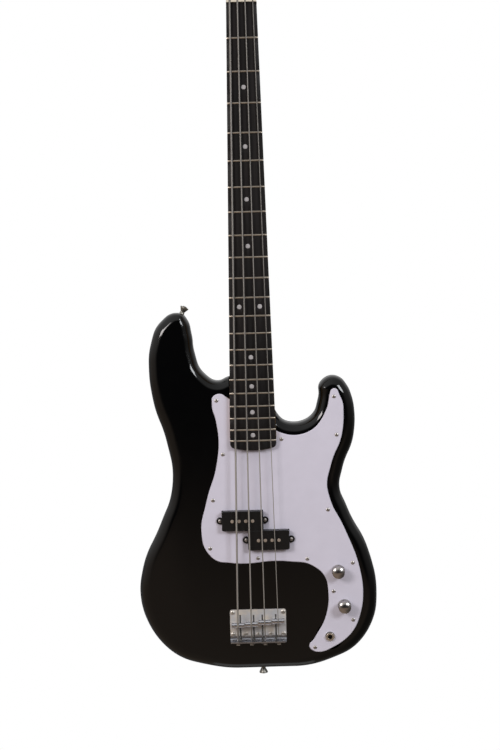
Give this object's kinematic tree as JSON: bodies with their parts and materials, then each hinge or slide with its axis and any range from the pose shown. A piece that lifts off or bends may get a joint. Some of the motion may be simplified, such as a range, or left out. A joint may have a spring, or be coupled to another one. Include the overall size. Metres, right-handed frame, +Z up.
{
  "type": "electric bass guitar",
  "caption": "Solid-bodied electric bass guitar with an offset double-cutaway body, scratch plate, split pickup, bolt-on fretted neck and in-line geared tuners.",
  "frame": {"origin": "on the centreline at the fretboard side of the nut, level with the front face of the body", "axes": "+Z up the neck from the tail to the headstock, +Y from the front to the back, +X towards the thinnest string"},
  "size_m": [0.3384, 0.0689, 1.1653],
  "materials": {
    "body_black": "gloss black lacquer over wood",
    "guard_white": "polished plastic sheet",
    "screw_steel": "plated",
    "neck_maple": "satin lacquer over maple",
    "board_dark": "oiled dark wood",
    "inlay_pearl": "polished",
    "nut_bone": "bone-coloured",
    "fret_nickel": "polished nickel silver",
    "rod_steel": "plain",
    "chrome": "plated",
    "bridge_nickel": "plated",
    "gear_brass": "machined",
    "string_steel": "wound",
    "spring_steel": "drawn wire",
    "pickup_black": "moulded",
    "pole_steel": "ground",
    "coil_copper": "wound coil on black flanges",
    "shaft_brass": "turned",
    "pot_steel": "pressed",
    "wire_black": "insulated",
    "capacitor_orange": "dipped"
  },
  "bodies": {
    "instrument": {"body": "body_black", "bridge_plate": "bridge_nickel", "bridge_screws": "screw_steel", "control_nuts": "chrome", "fretboard": "board_dark", "frets": "fret_nickel", "inlay_dots": "inlay_pearl", "intonation_spring_a": "spring_steel", "intonation_spring_d": "spring_steel", "intonation_spring_e": "spring_steel", "intonation_spring_g": "spring_steel", "neck": "neck_maple", "neck_bolts": "chrome", "neck_plate": "chrome", "nut": "nut_bone", "output_jack": "pot_steel", "pickguard": "guard_white", "pickguard_screws": "screw_steel", "pickup_bobbins": "coil_copper", "pickup_covers": "pickup_black", "pickup_poles": "pole_steel", "pickup_screws": "screw_steel", "potentiometers": "pot_steel", "strap_buttons": "chrome", "string_a": "string_steel", "string_d": "string_steel", "string_e": "string_steel", "string_g": "string_steel", "string_tree": "chrome", "tone_capacitor": "capacitor_orange", "truss_rod": "rod_steel", "tuner_bushings": "chrome", "tuner_plate_screws": "screw_steel", "tuner_plates": "chrome", "wiring": "wire_black"},
    "key_e": {"tuner_key_e": "chrome"},
    "post_e": {"tuner_post_e": "chrome", "tuner_gear_e": "gear_brass"},
    "saddle_e": {"saddle_e": "bridge_nickel"},
    "intonation_e": {"intonation_screw_e": "screw_steel"},
    "key_a": {"tuner_key_a": "chrome"},
    "post_a": {"tuner_post_a": "chrome", "tuner_gear_a": "gear_brass"},
    "saddle_a": {"saddle_a": "bridge_nickel"},
    "intonation_a": {"intonation_screw_a": "screw_steel"},
    "key_d": {"tuner_key_d": "chrome"},
    "post_d": {"tuner_post_d": "chrome", "tuner_gear_d": "gear_brass"},
    "saddle_d": {"saddle_d": "bridge_nickel"},
    "intonation_d": {"intonation_screw_d": "screw_steel"},
    "key_g": {"tuner_key_g": "chrome"},
    "post_g": {"tuner_post_g": "chrome", "tuner_gear_g": "gear_brass"},
    "saddle_g": {"saddle_g": "bridge_nickel"},
    "intonation_g": {"intonation_screw_g": "screw_steel"},
    "volume": {"volume_knob": "chrome", "volume_shaft": "shaft_brass"},
    "tone": {"tone_knob": "chrome", "tone_shaft": "shaft_brass"},
    "truss_nut": {"truss_rod_nut": "rod_steel"}
  },
  "joints": [
    {"name": "key_turn_e", "type": "hinge", "parent": "instrument", "child": "key_e", "pos_m": [-0.01811, 0.01795, 0.05787], "axis": [-0.9711, 0, 0.2387], "continuous": true, "deforming": ["string_e"]},
    {"name": "post_turn_e", "type": "hinge", "parent": "instrument", "child": "post_e", "pos_m": [-0.02128, 0.01795, 0.045], "axis": [0, 1, 0], "continuous": true, "deforming": ["string_e"]},
    {"name": "saddle_slide_e", "type": "slide", "parent": "instrument", "child": "saddle_e", "axis": [0, 0, 1], "range_m": [-0.004, 0.004], "deforming": ["string_e", "intonation_spring_e"]},
    {"name": "intonation_turn_e", "type": "hinge", "parent": "instrument", "child": "intonation_e", "pos_m": [-0.02518, -0.01069, -0.8941], "axis": [0, 0, -1], "continuous": true},
    {"name": "key_turn_a", "type": "hinge", "parent": "instrument", "child": "key_a", "pos_m": [-0.0075, 0.01795, 0.09787], "axis": [-0.9711, 0, 0.2387], "continuous": true, "deforming": ["string_a"]},
    {"name": "post_turn_a", "type": "hinge", "parent": "instrument", "child": "post_a", "pos_m": [-0.01067, 0.01795, 0.085], "axis": [0, 1, 0], "continuous": true, "deforming": ["string_a"]},
    {"name": "saddle_slide_a", "type": "slide", "parent": "instrument", "child": "saddle_a", "axis": [0, 0, 1], "range_m": [-0.004, 0.004], "deforming": ["string_a", "intonation_spring_a"]},
    {"name": "intonation_turn_a", "type": "hinge", "parent": "instrument", "child": "intonation_a", "pos_m": [-0.00612, -0.01221, -0.8941], "axis": [0, 0, -1], "continuous": true},
    {"name": "key_turn_d", "type": "hinge", "parent": "instrument", "child": "key_d", "pos_m": [0.00233, 0.01795, 0.13787], "axis": [-0.9711, 0, 0.2387], "continuous": true, "deforming": ["string_d"]},
    {"name": "post_turn_d", "type": "hinge", "parent": "instrument", "child": "post_d", "pos_m": [-0.00083, 0.01795, 0.125], "axis": [0, 1, 0], "continuous": true, "deforming": ["string_d"]},
    {"name": "saddle_slide_d", "type": "slide", "parent": "instrument", "child": "saddle_d", "axis": [0, 0, 1], "range_m": [-0.004, 0.004], "deforming": ["string_d", "intonation_spring_d"]},
    {"name": "intonation_turn_d", "type": "hinge", "parent": "instrument", "child": "intonation_d", "pos_m": [0.00611, -0.01221, -0.8941], "axis": [0, 0, -1], "continuous": true},
    {"name": "key_turn_g", "type": "hinge", "parent": "instrument", "child": "key_g", "pos_m": [0.01139, 0.01795, 0.17787], "axis": [-0.9711, 0, 0.2387], "continuous": true, "deforming": ["string_g"]},
    {"name": "post_turn_g", "type": "hinge", "parent": "instrument", "child": "post_g", "pos_m": [0.00822, 0.01795, 0.165], "axis": [0, 1, 0], "continuous": true, "deforming": ["string_g"]},
    {"name": "saddle_slide_g", "type": "slide", "parent": "instrument", "child": "saddle_g", "axis": [0, 0, 1], "range_m": [-0.004, 0.004], "deforming": ["string_g", "intonation_spring_g"]},
    {"name": "intonation_turn_g", "type": "hinge", "parent": "instrument", "child": "intonation_g", "pos_m": [0.02511, -0.0107, -0.8941], "axis": [0, 0, -1], "continuous": true},
    {"name": "volume_turn", "type": "hinge", "parent": "instrument", "child": "volume", "pos_m": [0.11526, -0.0064, -0.79631], "axis": [0, -1, 0], "range_deg": [-150, 150]},
    {"name": "tone_turn", "type": "hinge", "parent": "instrument", "child": "tone", "pos_m": [0.12296, -0.0064, -0.84604], "axis": [0, -1, 0], "range_deg": [-150, 150]},
    {"name": "truss_nut_turn", "type": "hinge", "parent": "instrument", "child": "truss_nut", "pos_m": [0, -0.001, 0.0106], "axis": [0, 0, 1], "range_deg": [-360, 360]}
  ],
  "couplings": [
    {"joint": "post_turn_e", "follows": "key_turn_e", "ratio": 0.05},
    {"joint": "intonation_turn_e", "follows": "saddle_slide_e", "rad_per_m": 8976},
    {"joint": "post_turn_a", "follows": "key_turn_a", "ratio": 0.05},
    {"joint": "intonation_turn_a", "follows": "saddle_slide_a", "rad_per_m": 8976},
    {"joint": "post_turn_d", "follows": "key_turn_d", "ratio": 0.05},
    {"joint": "intonation_turn_d", "follows": "saddle_slide_d", "rad_per_m": 8976},
    {"joint": "post_turn_g", "follows": "key_turn_g", "ratio": 0.05},
    {"joint": "intonation_turn_g", "follows": "saddle_slide_g", "rad_per_m": 8976}
  ]
}
